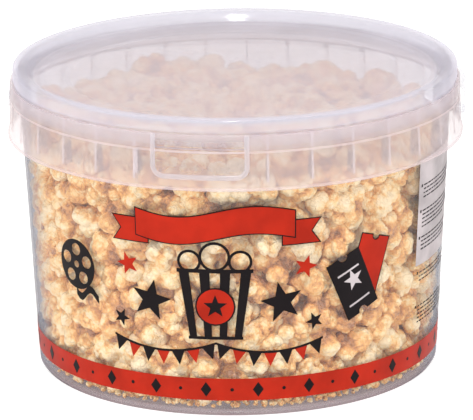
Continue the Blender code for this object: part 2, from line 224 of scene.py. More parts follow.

# Plastics: colour, share of the light that a face of haze 1 stops, and roughness of the gloss.
# Those of round walls also have the colour of their dark edge and the light that it stops. This dark edge is
# painted shade, standing in for the darkening that refraction shows where a wall is seen slanting.
PLASTICS = {
    "clear_plastic": ((0.62, 0.58, 0.66), 0.042, 0.12, (0.26, 0.27, 0.32), 0.5),
    # The foot's dark colour and dark edge are painted shade, for the dark under the floor seen through the
    # clear foot
    "thick_shaded_plastic": ((0.32, 0.21, 0.23), 0.46, 0.15, (0.06, 0.05, 0.07), 0.8),
    "collar_plastic": ((0.80, 0.69, 0.71), 0.23, 0.18),
    "ridge_plastic": ((0.93, 0.87, 0.89), 0.36, 0.18),
    "lid_plastic": ((0.86, 0.84, 0.94), 0.35, 0.11),
    "handle_plastic": ((0.80, 0.80, 0.86), 0.10, 0.15),
}
# How slanting a round wall is seen where its painted dark edge starts and is full
EDGE_SHADE_FACING = (0.58, 0.92)
PLASTIC_IOR = 1.5
MILK_ROUGHNESS = 0.5
MILK_GLOW = 0.4
MILK_EVENNESS = 0.8
MIRROR_SQUARE_ON = 0.026
MIRROR_AT_EDGE = 0.12
MIRROR_POWER = 5.0

# How much of a shell's milk its outer and its inner face carry
OUTER_SHARE = 1.5
INNER_SHARE = 0.4

# Haze of parts that are milkier or clearer than the rest of their plastic
BEAD_HAZE = 1.6
FLANGE_LINE_HAZE = 2.0
TAB_HAZE = 0.8
BLADE_HAZE = 0.2
BLADE_END_HAZE = 1.8
SHORT_RIB_HAZE = 1.6
TEAR_LINE_HAZE = 0.8
CREST_HAZE = 0.85
LID_EDGE_HAZE = 1.5
SKIRT_HAZE = 0.7
SKIRT_TAB_HAZE = 0.4
HANDLE_HAZE = 2.0

# How far past its edge the haze of such a part reaches
BEAD_MARGIN = 0.0002
FLANGE_LINE_MARGIN = 0.00005
WELL_MARGIN = 0.0005
LID_EDGE_MARGIN = 0.0004
SKIRT_MARGIN = 0.0020
RIDGE_MARGIN = 0.0005

# Inks: colour, roughness, and share of the light that they stop
INKS = {
    "red_print": ((0.47, 0.020, 0.006), 0.45, 0.91),
    "dark_print": ((0.008, 0.005, 0.006), 0.45, 0.98),
    "small_print": ((0.020, 0.014, 0.016), 0.45, 0.75),
    "pale_print": ((0.66, 0.59, 0.60), 0.5, 0.80),
}
# Darkest patches of the ink: partly uneven ink, partly painted shade of the popcorn behind the print
INK_DARKEST_PATCH_SHADE = 0.72
INK_GLOSS = 0.1

# Popcorn's coat, from bare cream to dark caramel, and what mottles it. The dark end also serves as painted
# shade in the deeper parts of the flakes and on the plug inside the heap.
COAT_TONES = (
    (0.0, (0.94, 0.75, 0.48)),
    (0.22, (0.93, 0.66, 0.32)),
    (0.45, (0.87, 0.46, 0.15)),
    (0.7, (0.67, 0.30, 0.10)),
    (1.0, (0.40, 0.18, 0.085)),
)
PATCH_STRENGTH = 1.30
GRAIN_STRENGTH = 0.45
LINE_STRENGTH = 0.14
LINE_SHARPNESS = 5.0
LINE_BEND = 0.004
LINE_DEPTH = 0.8
COAT_ROUGHNESS = 0.48
CARAMEL_GLOSS = 0.22

# Camera, measured from the photograph
CAMERA_ANGLE = math.radians(9.0)
CAMERA_REACH = 2.1753
CAMERA_HEIGHT = 0.7242
CAMERA_AIM_Z = 0.0763
CAMERA_ROLL = math.radians(-0.698)
CAMERA_LENS = 336.6

# Softboxes: degrees from the camera's side, distance, height, width and height of the box, power
SOFTBOXES = {
    "key": (-2.0, 1.1, 1.8, 0.18, 0.18, 21.0),
    "front": (-20.0, 2.0, 0.6, 1.2, 0.8, 6.5),
    "left_box": (-70.0, 1.3, 0.8, 0.6, 0.9, 5.0),
    "right_box": (65.0, 1.3, 0.8, 0.6, 0.9, 5.5),
}
SOFTBOX_AIM_Z = 0.08
WORLD_LIGHT = 0.55
GROUND_RADIUS = 12.0
GROUND_Z = -0.0002
GROUND_GREY = 0.60
GROUND_GLOW = 0.72


def wall_radius(height):
    """Outer radius of the tapered wall."""
    return BASE_WALL_RADIUS + WALL_DRAFT * height


def inner_wall(height):
    """Radius that the popcorn keeps within."""
    return wall_radius(height) - WALL - WALL_CLEARANCE


def collar_radius(height):
    """Outer radius of the collar, which widens a little towards its lower edge."""
    share = (COLLAR_TOP - height) / (COLLAR_TOP - COLLAR_BOTTOM)
    return COLLAR_TOP_RADIUS + (COLLAR_BOTTOM_RADIUS - COLLAR_TOP_RADIUS) * share


def collar_inside(height):
    """Inner radius of the collar."""
    return collar_radius(height) - COLLAR_WALL


def on_turn(angle, radius, height):
    """Point at an angle from -Y towards +X."""
    return (radius * math.sin(angle), -radius * math.cos(angle), height)


def on_turns(angles, reach, heights):
    """Rows of points at angles from -Y towards +X."""
    return np.stack([reach * np.sin(angles), -reach * np.cos(angles), heights], 1)


def smooth_step(value):
    value = min(max(value, 0.0), 1.0)
    return value * value * (3.0 - 2.0 * value)


# Node helpers

def new_tree(name):
    """Empty material and its node tree."""
    material = bpy.data.materials.new(name)
    material.use_nodes = True
    material.node_tree.nodes.clear()
    return material, material.node_tree


def add_node(tree, kind, inputs=None, **settings):
    """Adds a node, sets its properties, and sets or links its inputs."""
    node = tree.nodes.new(kind)
    for key, value in settings.items():
        setattr(node, key, value)
    for key, value in (inputs or {}).items():
        if isinstance(value, bpy.types.NodeSocket):
            tree.links.new(value, node.inputs[key])
        else:
            node.inputs[key].default_value = value
    return node


def calculate(tree, operation, first, second=0.0, clamp=False):
    node = add_node(tree, "ShaderNodeMath", {0: first, 1: second}, operation=operation)
    node.use_clamp = clamp
    return node.outputs[0]


def plus(tree, first, second, clamp=False):
    return calculate(tree, "ADD", first, second, clamp)


def minus(tree, first, second, clamp=False):
    return calculate(tree, "SUBTRACT", first, second, clamp)


def times(tree, first, second):
    return calculate(tree, "MULTIPLY", first, second)


def noise(tree, place, scale, detail, output="Fac"):
    inputs = {"Vector": place, "Scale": scale, "Detail": detail}
    return add_node(tree, "ShaderNodeTexNoise", inputs).outputs[output]


def own_place(tree):
    """Each point's place on its piece."""
    return add_node(tree, "ShaderNodeTexCoord").outputs["Object"]


def attribute(tree, name):
    return add_node(tree, "ShaderNodeAttribute", attribute_name=name).outputs["Fac"]


def colour_ramp(tree, factor, stops):
    node = add_node(tree, "ShaderNodeValToRGB", {"Fac": factor})
    ramp = node.color_ramp
    while len(ramp.elements) < len(stops):
        ramp.elements.new(0.5)
    for element, (place, colour) in zip(ramp.elements, stops):
        element.position = place
        element.color = (*colour, 1.0)
    return node.outputs["Color"]


def surface(tree, colour, roughness, gloss=0.0, **more):
    """Principled shader. The colour is three numbers or a socket."""
    if not isinstance(colour, bpy.types.NodeSocket):
        colour = (*colour, 1.0)
    inputs = {"Base Color": colour, "Roughness": roughness, "Specular IOR Level": gloss, **more}
    return add_node(tree, "ShaderNodeBsdfPrincipled", inputs).outputs[0]


def see_through(tree):
    return add_node(tree, "ShaderNodeBsdfTransparent").outputs[0]


def mix(tree, share, first, second):
    """Two shaders, of which the second gets the share."""
    return add_node(tree, "ShaderNodeMixShader", {0: share, 1: first, 2: second}).outputs[0]


def finish_tree(tree, shader):
    add_node(tree, "ShaderNodeOutputMaterial", {"Surface": shader})


# Materials

def plastic_material(name):
    """Thin milky plastic. A slanting ray, bent as it enters, has further to go through it. Round walls also
    get a painted dark edge where they are seen slanting.
    """
    colour, density, roughness, *edge = PLASTICS[name]
    material, tree = new_tree(name)
    facing = add_node(tree, "ShaderNodeLayerWeight", {"Blend": 0.5}).outputs["Facing"]
    cosine = minus(tree, 1.0, facing)
    sine_squared = minus(tree, 1.0, times(tree, cosine, cosine))
    bent = minus(tree, 1.0, calculate(tree, "DIVIDE", sine_squared, PLASTIC_IOR ** 2))
    inner_cosine = calculate(tree, "SQRT", bent)
    clouds = noise(tree, own_place(tree), scale=38.0, detail=3.0)
    uneven = plus(tree, MILK_EVENNESS, times(tree, clouds, 2.0 * (1.0 - MILK_EVENNESS)))
    milk = times(tree, times(tree, attribute(tree, "haze"), density), uneven)
    clear = minus(tree, 1.0, milk, clamp=True)
    passed = calculate(tree, "POWER", clear, calculate(tree, "DIVIDE", 1.0, inner_cosine))
    opacity = minus(tree, 1.0, passed, clamp=True)
    body = surface(tree, colour, MILK_ROUGHNESS)
    glow = add_node(tree, "ShaderNodeBsdfTranslucent", {"Color": (*colour, 1.0)}).outputs[0]
    film = mix(tree, opacity, see_through(tree), mix(tree, MILK_GLOW, body, glow))
    # Painted dark edge: where a round wall is seen slanting, the film fades to a dark colour that stands in
    # for the darkening by refraction
    if edge:
        edge_shade_colour, edge_shade_cover = edge
        start, full = EDGE_SHADE_FACING
        grazing_shade = add_node(
            tree, "ShaderNodeMapRange", {"Value": facing, 1: start, 2: full, 3: 0.0, 4: edge_shade_cover},
            interpolation_type="SMOOTHSTEP",
        ).outputs[0]
        film = mix(tree, grazing_shade, film, surface(tree, edge_shade_colour, MILK_ROUGHNESS))
    mirror = add_node(tree, "ShaderNodeBsdfGlossy", {"Roughness": roughness}).outputs[0]
    rim = times(tree, calculate(tree, "POWER", facing, MIRROR_POWER), MIRROR_AT_EDGE)
    shine = plus(tree, rim, MIRROR_SQUARE_ON, clamp=True)
    finish_tree(tree, mix(tree, shine, film, mirror))
    return material


def print_material(name):
    """Printing ink, darker in random patches: partly uneven ink and partly painted shade of the popcorn
    behind it.
    """
    colour, roughness, cover = INKS[name]
    material, tree = new_tree(name)
    clouds = noise(tree, own_place(tree), scale=60.0, detail=4.0)
    darker = tuple(INK_DARKEST_PATCH_SHADE * part for part in colour)
    mixed = colour_ramp(tree, clouds, [(0.35, darker), (0.65, colour)])
    ink = surface(tree, mixed, roughness, INK_GLOSS)
    finish_tree(tree, mix(tree, cover, see_through(tree), ink))
    return material


def popcorn_material():
    """Caramel coat, thin and golden over cream lobes and thick in the creases, with painted shade in the
    deeper parts of each flake and on the plug inside the heap.
    """
    material, tree = new_tree("popped_corn")
    place = own_place(tree)
    patches = minus(tree, noise(tree, place, scale=190.0, detail=3.0), 0.5)
    specks = minus(tree, noise(tree, place, scale=900.0, detail=3.0), 0.5)
    bend = noise(tree, place, scale=300.0, detail=2.0, output="Color")
    bent = add_node(
        tree, "ShaderNodeMix", {"Factor": LINE_BEND, 4: place, 5: bend}, data_type="VECTOR",
    ).outputs[1]
    cells = add_node(
        tree, "ShaderNodeTexVoronoi", {"Vector": bent, "Scale": 330.0}, feature="DISTANCE_TO_EDGE",
    ).outputs["Distance"]
    crease = minus(tree, 1.0, times(tree, cells, LINE_SHARPNESS), clamp=True)
    patched = plus(tree, attribute(tree, "toast_and_shade"), times(tree, patches, PATCH_STRENGTH))
    mottled = plus(tree, patched, times(tree, crease, LINE_STRENGTH))
    level = plus(tree, mottled, times(tree, specks, GRAIN_STRENGTH), clamp=True)
    bumps = noise(tree, place, scale=420.0, detail=3.0)
    rise = minus(tree, bumps, times(tree, crease, LINE_DEPTH))
    relief = add_node(tree, "ShaderNodeBump", {"Strength": 0.7, "Distance": 0.0006, "Height": rise})
    roughness = minus(tree, COAT_ROUGHNESS, times(tree, level, CARAMEL_GLOSS))
    coat = surface(tree, colour_ramp(tree, level, COAT_TONES), roughness, 0.5, Normal=relief.outputs[0])
    finish_tree(tree, coat)
    return material


def ground_material():
    material, tree = new_tree("floor")
    glow = {"Emission Color": (1.0, 1.0, 1.0, 1.0), "Emission Strength": GROUND_GLOW}
    finish_tree(tree, surface(tree, 3 * (GROUND_GREY,), 0.8, 0.1, **glow))
    return material


# Mesh helpers

def add_object(name, data):
    item = bpy.data.objects.new(name, data)
    bpy.context.scene.collection.objects.link(item)
    return item


def object_from_arrays(name, points, triangles, toast_and_shade, material):
    """Object from arrays of points, of triangles and of how toasted and how shaded each point is."""
    mesh = bpy.data.meshes.new(name)
    mesh.vertices.add(len(points))
    mesh.vertices.foreach_set("co", points.ravel())
    mesh.loops.add(triangles.size)
    mesh.loops.foreach_set("vertex_index", triangles.ravel())
    mesh.polygons.add(len(triangles))
    mesh.polygons.foreach_set("loop_start", np.arange(len(triangles)) * 3)
    layer = mesh.attributes.new("toast_and_shade", "FLOAT", "POINT")
    layer.data.foreach_set("value", np.asarray(toast_and_shade, np.float32))
    mesh.update()
    mesh.validate()
    mesh.shade_smooth()
    mesh.materials.append(material)
    return add_object(name, mesh)


def object_from_bmesh(name, shape, material, amount=None, attribute_name="haze"):
    """Object from a bmesh. amount gives a point's attribute from its place and normal."""
    mesh = bpy.data.meshes.new(name)
    shape.normal_update()
    shape.to_mesh(mesh)
    shape.free()
    mesh.shade_smooth()
    mesh.set_sharp_from_angle(angle=math.radians(SHARP_DEG))
    mesh.materials.append(material)
    if amount is not None:
        layer = mesh.attributes.new(attribute_name, "FLOAT", "POINT")
        for vertex, item in zip(mesh.vertices, layer.data):
            item.value = amount(vertex.co, vertex.normal)
    return add_object(name, mesh)


def rounded_outline(corners, steps=4):
    """Outline of (radius, height) points whose third number rounds the corner."""
    points = []
    last = len(corners) - 1
    for index, (radius, height, rounding) in enumerate(corners):
        if rounding == 0.0 or index in (0, last):
            points.append((radius, height))
            continue
        here = Vector((radius, height))
        before = Vector(corners[index - 1][:2]) - here
        after = Vector(corners[index + 1][:2]) - here
        reach = min(rounding, 0.49 * before.length, 0.49 * after.length)
        start = here + before.normalized() * reach
        end = here + after.normalized() * reach
        for step in range(steps + 1):
            share = step / steps
            point = start.lerp(here, share).lerp(here.lerp(end, share), share)
            points.append((point.x, point.y))
    return points


def add_turned(shape, outline, steps=SHELL_STEPS, closed=False):
    """Turns an outline about Z. Points on the axis become one vertex each."""
    rings = []
    for radius, height in outline:
        if radius < TINY:
            rings.append([shape.verts.new((0.0, 0.0, height))])
            continue
        turns = [math.tau * step / steps for step in range(steps)]
        rings.append([shape.verts.new(on_turn(turn, radius, height)) for turn in turns])
    pairs = list(zip(rings, rings[1:]))
    if closed:
        pairs.append((rings[-1], rings[0]))
    for upper, lower in pairs:
        for step in range(steps):
            following = (step + 1) % steps
            corners = []
            for vertex in (
                upper[step % len(upper)],
                lower[step % len(lower)],
                lower[following % len(lower)],
                upper[following % len(upper)],
            ):
                if vertex not in corners:
                    corners.append(vertex)
            shape.faces.new(corners)


def turned(outline, **settings):
    """New shape with one turned outline."""
    shape = bmesh.new()
    add_turned(shape, outline, **settings)
    return shape


def sweep(shape, sections):
    """Closed skin over a row of rings that have equally many points."""
    rings = [[shape.verts.new(point) for point in section] for section in sections]
    count = len(rings[0])
    faces = [shape.faces.new(rings[0]), shape.faces.new(rings[-1])]
    for first, second in zip(rings, rings[1:]):
        for corner in range(count):
            following = (corner + 1) % count
            corners = (first[corner], first[following], second[following], second[corner])
            faces.append(shape.faces.new(corners))
    bmesh.ops.recalc_face_normals(shape, faces=faces)


def face_share(place, normal):
    """Most of the milk is given to the faces that look up or outwards."""
    outwards = (normal.x * place.x + normal.y * place.y) / max(math.hypot(place.x, place.y), TINY)
    looks_out = normal.z > 0.3 or (normal.z > -0.3 and outwards > 0.0)
    return OUTER_SHARE if looks_out else INNER_SHARE


# Bucket

def wall_outline():
    """Section of the wall, which reaches a little into the foot."""
    return rounded_outline([
        (wall_radius(FLOOR_BOTTOM) - WALL, FLOOR_BOTTOM, 0.0),
        (wall_radius(WALL_TOP) - WALL, WALL_TOP, SLIGHT_ROUND),
        (wall_radius(WALL_TOP), WALL_TOP, SLIGHT_ROUND),
        (wall_radius(FLOOR_BOTTOM), FLOOR_BOTTOM, 0.0),
    ])


def foot_outline():
    """Section of floor and foot ring."""
    outer = wall_radius(FLOOR_TOP) - FOOT_GAP
    inner_step = FOOT_INNER_RADIUS - FOOT_STEP
    return rounded_outline([
        (0.0, FLOOR_TOP, 0.0),
        (outer - WALL, FLOOR_TOP, BROAD_ROUND),
        (outer, FLOOR_TOP - SMALL_ROUND, SLIGHT_ROUND),
        (FOOT_OUTER_RADIUS + FOOT_LEAN, FOOT_STEP, BROAD_ROUND),
        (FOOT_OUTER_RADIUS, 0.0, SOFT_ROUND),
        (FOOT_INNER_RADIUS, 0.0, SOFT_ROUND),
        (inner_step, FOOT_STEP, SOFT_ROUND),
        (inner_step, FLOOR_BOTTOM, BROAD_ROUND),
        (0.0, FLOOR_BOTTOM, 0.0),
    ])


def collar_outline():
    """Section of flange and collar, which reaches a little into the wall."""
    bead_radius = COLLAR_BOTTOM_RADIUS + BEAD_PROUD
    root = wall_radius(FLANGE_BOTTOM) - FLANGE_BITE
    beside_flange = (FLANGE_TOP, FLANGE_LINE_TOP, FLANGE_LINE_BOTTOM, FLANGE_BOTTOM)
    return rounded_outline([
        (root, FLANGE_TOP, 0.0),
        (COLLAR_INNER_TOP, FLANGE_TOP, FLANGE_ROUND),
        (COLLAR_INNER_TOP, COLLAR_TOP, FINE_ROUND),
        (COLLAR_TOP_RADIUS, COLLAR_TOP, SLIGHT_ROUND),
        *[(collar_radius(height), height, 0.0) for height in beside_flange],
        (collar_radius(BEAD_TOP), BEAD_TOP, FINE_ROUND),
        (bead_radius, BEAD_TOP, FINE_ROUND),
        (bead_radius, COLLAR_BOTTOM, SLIGHT_ROUND),
        (COLLAR_BOTTOM_RADIUS - COLLAR_WALL, COLLAR_BOTTOM, FINE_ROUND),
        (collar_inside(FLANGE_BOTTOM), FLANGE_BOTTOM, FLANGE_ROUND),
        (root, FLANGE_BOTTOM, 0.0),
    ])


def rib_angles():
    """Even angles round the collar, without those inside the tear tab."""
    angles = [(index + 0.5) * math.tau / RIB_COUNT for index in range(RIB_COUNT)]
    return [angle for angle in angles if min(angle, math.tau - angle) > TAB_HALF_ANGLE]


def add_rib(shape, angle, thickness, reaches, bottom, top):
    """Upright rib. reaches are its radii from the inmost outwards, as functions of height."""
    turn = Matrix.Rotation(angle, 3, "Z")
    sections = []
    for reach in reaches:
        section = []
        for side, height in ((-0.5, bottom), (0.5, bottom), (0.5, top), (-0.5, top)):
            section.append(turn @ Vector((side * thickness, -reach(height), height)))
        sections.append(section)
    sweep(shape, sections)


def add_blades(shape):
    """Thin ribs under the flange, between wall and collar, and the wide one by the tab."""
    blades = [(angle, RIB_THICKNESS, RIB_BOTTOM) for angle in rib_angles()]
    blades.append((WIDE_RIB_ANGLE, WIDE_RIB_THICKNESS, TAB_BOTTOM))
    reaches = (
        lambda height: wall_radius(height) - RIB_BITE,
        lambda height: collar_inside(height) - ROOT_DEPTH,
        lambda height: collar_inside(height) + RIB_BITE,
    )
    for angle, thickness, bottom in blades:
        add_rib(shape, angle, thickness, reaches, bottom, FLANGE_BOTTOM)


def add_short_ribs(shape):
    """Short ribs above the flange, on the inside of the collar."""
    reaches = (lambda height: COLLAR_INNER_TOP - ROOT_DEPTH, lambda height: COLLAR_INNER_TOP + RIB_BITE)
    for angle in rib_angles():
        add_rib(shape, angle, SHORT_RIB_THICKNESS, reaches, FLANGE_TOP, COLLAR_TOP - ROOT_DEPTH)


def tab_path(side_steps=12, corner_steps=8, floor_steps=24):
    """Middle of the tear line as (angle, height) pairs, from left top to right top."""
    corner_angle = TAB_CORNER / COLLAR_BOTTOM_RADIUS
    corner_top = TAB_BOTTOM + TAB_CORNER
    inner_angle = TAB_HALF_ANGLE - corner_angle
    left = []
    for step in range(side_steps):
        left.append((-TAB_HALF_ANGLE, COLLAR_TOP + (corner_top - COLLAR_TOP) * step / side_steps))
    for step in range(corner_steps + 1):
        turn = 0.5 * math.pi * step / corner_steps
        left.append((-inner_angle - corner_angle * math.cos(turn), corner_top - TAB_CORNER * math.sin(turn)))
    across = [(inner_angle * (2.0 * step / floor_steps - 1.0), TAB_BOTTOM) for step in range(1, floor_steps)]
    return left + across + [(-angle, height) for angle, height in reversed(left)]


def add_tear_line(shape, section_steps=7):
    """Rounded ridge along the outline of the tear tab."""
    path = tab_path()
    sections = []
    for index, (angle, height) in enumerate(path):
        before = path[max(index - 1, 0)]
        after = path[min(index + 1, len(path) - 1)]
        along = (after[0] - before[0]) * COLLAR_BOTTOM_RADIUS
        rise = after[1] - before[1]
        length = math.hypot(along, rise)
        side_angle = -rise / length * 0.5 * TAB_LINE_WIDTH / COLLAR_BOTTOM_RADIUS
        side_height = along / length * 0.5 * TAB_LINE_WIDTH
        section = []
        for step in range(section_steps + 1):
            turn = math.pi * step / section_steps
            side = -math.cos(turn)
            point_height = height + side * side_height
            radius = collar_radius(point_height) - TAB_BITE + (TAB_PROUD + TAB_BITE) * math.sin(turn)
            section.append(on_turn(angle + side * side_angle, radius, point_height))
        sections.append(section)
    sweep(shape, sections)


def in_tab(place):
    return abs(math.atan2(place.x, -place.y)) < TAB_HALF_ANGLE


def collar_haze(place, normal):
    """Clearer inside the tear tab, and thicker along the bead and where the flange meets it."""
    share = face_share(place, normal)
    if place.z < BEAD_TOP + BEAD_MARGIN:
        return BEAD_HAZE * share
    if FLANGE_LINE_BOTTOM - FLANGE_LINE_MARGIN < place.z < FLANGE_LINE_TOP + FLANGE_LINE_MARGIN:
        return FLANGE_LINE_HAZE * share
    return TAB_HAZE * share if in_tab(place) and place.z > TAB_BOTTOM + TAB_CORNER else share


def rib_haze(place, normal):
    """The ribs are densest at the collar, where they are seen end on."""
    at_collar = math.hypot(place.x, place.y) > collar_inside(place.z)
    return BLADE_END_HAZE if at_collar else BLADE_HAZE


def ridge_haze(place, normal):
    """The short ribs are denser than the tear line, which lies in front of the collar."""
    in_front = math.hypot(place.x, place.y) > collar_radius(place.z) - RIDGE_MARGIN
    return TEAR_LINE_HAZE if in_front else SHORT_RIB_HAZE


def bucket_piece(name, shape, material, haze):
    piece = object_from_bmesh(name, shape, material, haze)
    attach(piece, "tub")
    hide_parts("bucket")


def make_bucket():
    wall = turned(wall_outline(), closed=True)
    bucket_piece("bucket_wall", wall, plastic_material("clear_plastic"), face_share)
    foot = turned(foot_outline())
    # The foot's plastic is darkened with painted shade
    bucket_piece("bucket_foot", foot, plastic_material("thick_shaded_plastic"), lambda place, normal: 1.0)
    collar = turned(collar_outline(), closed=True)
    bucket_piece("bucket_collar", collar, plastic_material("collar_plastic"), collar_haze)
    ridge = plastic_material("ridge_plastic")
    ribs = bmesh.new()
    add_blades(ribs)
    bucket_piece("bucket_ribs", ribs, ridge, rib_haze)
    lines = bmesh.new()
    add_short_ribs(lines)
    add_tear_line(lines)
    bucket_piece("bucket_rib_lines", lines, ridge, ridge_haze)


# Lid

def lid_outline():
    """Section of the lid, from the middle over the crest and back along the underside."""
    outer, inner = STEP_RADII
    middle_top = PANEL_TOP - STEP_DROP
    centre_top = middle_top - STEP_DROP
    skirt_inner = SKIRT_RADIUS - SKIRT_WALL
    channel_top = LID_TOP - LID_THICKNESS
    steps = (
        (inner, centre_top), (inner + STEP_RUN, middle_top),
        (outer, middle_top), (outer + STEP_RUN, PANEL_TOP),
    )
    return rounded_outline([
        (0.0, centre_top, 0.0),
        *[(radius, height, SOFT_ROUND) for radius, height in steps],
        (WELL_RADIUS, PANEL_TOP, CREST_ROUND),
        (CREST_INNER_RADIUS, LID_TOP, CREST_ROUND),
        (LID_RADIUS, LID_TOP, CREST_EDGE_ROUND),
        (LID_RADIUS, LID_EDGE_BOTTOM, FINE_ROUND),
        (SKIRT_RADIUS, LID_EDGE_BOTTOM, FINE_ROUND),
        (SKIRT_RADIUS, SKIRT_BOTTOM, SLIGHT_ROUND),
        (skirt_inner, SKIRT_BOTTOM, SLIGHT_ROUND),
        (skirt_inner, channel_top, SMALL_ROUND),
        (CREST_INNER_RADIUS + CREST_SHIFT, channel_top, BROAD_ROUND),
        (WELL_RADIUS + CREST_SHIFT, PANEL_TOP - LID_THICKNESS, BROAD_ROUND),
        *[(radius + STEP_SHIFT, height - LID_THICKNESS, SMALL_ROUND) for radius, height in reversed(steps)],
        (0.0, LID_UNDERSIDE, 0.0),
    ])


def lid_haze(place, normal):
    """The panel is denser than the crest, and the skirt is clearest behind the tear tab."""
    reach = math.hypot(place.x, place.y)
    if reach < WELL_RADIUS - WELL_MARGIN:
        return face_share(place, normal)
    if place.z > LID_EDGE_BOTTOM + LID_EDGE_MARGIN or reach < CREST_INNER_RADIUS + SKIRT_MARGIN:
        return CREST_HAZE * face_share(place, normal)
    if place.z > COLLAR_TOP:
        return LID_EDGE_HAZE
    return SKIRT_TAB_HAZE if in_tab(place) else SKIRT_HAZE


def make_lid():
    lid = object_from_bmesh("lid_shell", turned(lid_outline()), plastic_material("lid_plastic"), lid_haze)
    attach(lid, "tub")
    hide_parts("lid")


# Handle

def strap_section(angle):
    """Middle height and half height of the strap at an angle past its nearer pivot."""
    lift = smooth_step(angle / SWOOP_ANGLE)
    centre = PIVOT_Z + (STRAP_CENTRE_Z - PIVOT_Z) * lift
    half = EYE_RADIUS + (STRAP_HALF_HEIGHT - EYE_RADIUS) * lift
    grip = 1.0 - smooth_step((0.5 * math.pi - angle - GRIP_HALF_ANGLE) / GRIP_BLEND_ANGLE)
    return centre, half + (GRIP_HALF_HEIGHT - STRAP_HALF_HEIGHT) * grip


def handle_sections(eye_steps=9, strap_steps=60, first_step=0.35):
    """Sections (angle from +X towards the back, middle height, half height)."""
    sections = []
    eye_angle = EYE_RADIUS / HANDLE_INNER_RADIUS
    for step in range(eye_steps):
        turn = 0.5 * math.pi * (step + first_step) / (eye_steps + first_step)
        sections.append((-eye_angle * math.cos(turn), PIVOT_Z, EYE_RADIUS * math.sin(turn)))
    for step in range(strap_steps + 1):
        angle = 0.5 * math.pi * step / strap_steps
        sections.append((angle, *strap_section(angle)))
    mirrored = [(math.pi - angle, centre, half) for angle, centre, half in reversed(sections[:-1])]
    return sections + mirrored


def add_pin(shape, side):
    """Pin with a wider head, which holds the handle in the collar."""
    outer = HANDLE_INNER_RADIUS + 0.5 * HANDLE_THICKNESS
    head_end = outer - PIN_LENGTH - 0.2 * PIN_HEAD_LENGTH
    head_start = head_end + PIN_HEAD_LENGTH
    outline = rounded_outline([
        (0.0, outer, 0.0),
        (PIN_RADIUS, outer, 0.0),
        (PIN_RADIUS, head_start, 0.5 * SLIGHT_ROUND),
        (PIN_HEAD_RADIUS, head_start, FINE_ROUND),
        (PIN_HEAD_RADIUS, head_end, FINE_ROUND),
        (0.0, head_end, 0.0),
    ])
    before = set(shape.verts)
    add_turned(shape, outline, steps=32)
    for vertex in shape.verts:
        if vertex not in before:
            across, rise, along = vertex.co
            vertex.co = Vector((side * along, side * across, PIVOT_Z + rise))


def make_handle():
    shape = bmesh.new()
    inner, outer = HANDLE_INNER_RADIUS, HANDLE_INNER_RADIUS + HANDLE_THICKNESS
    sections = []
    for angle, centre, half in handle_sections():
        bevel = min(STRAP_BEVEL, 0.4 * half)
        corners = (
            (inner, -half + bevel), (inner + STRAP_BEVEL, -half),
            (outer - STRAP_BEVEL, -half), (outer, -half + bevel),
            (outer, half - bevel), (outer - STRAP_BEVEL, half),
            (inner + STRAP_BEVEL, half), (inner, half - bevel),
        )
        cosine, sine = math.cos(angle), math.sin(angle)
        sections.append([(radius * cosine, radius * sine, centre + rise) for radius, rise in corners])
    sweep(shape, sections)
    for side in (-1, 1):
        add_pin(shape, side)
    bmesh.ops.recalc_face_normals(shape, faces=shape.faces)
    plastic = plastic_material("handle_plastic")
    handle = object_from_bmesh("handle_strap", shape, plastic, lambda place, normal: HANDLE_HAZE)
    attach(handle, "bail")
    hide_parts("handle")


# Popcorn

def unit(points):
    """Rows of points, each brought to a length of 1."""
    return points / np.linalg.norm(points, axis=1)[:, None]


def unit_ball(subdivisions):
    """Points and triangles of a ball made of even triangles."""
    shape = bmesh.new()
    bmesh.ops.create_icosphere(shape, subdivisions=subdivisions, radius=1.0)
    points = np.array([vertex.co[:] for vertex in shape.verts])
    faces = np.array([[vertex.index for vertex in face.verts] for face in shape.faces])
    shape.free()
    return unit(points), faces


def random_directions(count, rng):
    return unit(rng.normal(size=(count, 3)))


def spread_directions(count, rng, rounds=5, push=0.06):
    """Directions that keep away from each other."""
    points = random_directions(count, rng)
    for _ in range(rounds):
        apart = points[:, None] - points[None]
        squared = (apart ** 2).sum(2) + np.eye(count)
        points = unit(points + push * (apart / squared[:, :, None]).sum(1))
    return points


def make_form(rng, burst):
    """Lobes and nubs of a popped flake, from round (burst 0) to opened out (burst 1)."""
    lobe_count = int(rng.integers(*LOBE_COUNTS) - BURST_LOBES * burst)
    return {
        "base": BASE_REACH - BURST_OPENING * burst,
        "lobe_ways": spread_directions(lobe_count, rng),
        "offsets": rng.uniform(*LOBE_OFFSETS, lobe_count) + BURST_OPENING * burst,
        "radii": rng.uniform(*LOBE_RADII, lobe_count) - BURST_THINNING * burst,
        "nub_ways": random_directions(int(rng.integers(*NUB_COUNTS)), rng),
        "nub_height": rng.uniform(*NUB_HEIGHTS),
        "wave_ways": random_directions(WAVES, rng),
        "wave_paces": rng.uniform(*WAVE_PACES, WAVES),
        "wave_starts": rng.uniform(0.0, math.tau, WAVES),
    }


def make_forms(count, rng):
    return [make_form(rng, burst=index / (count - 1)) for index in range(count)]


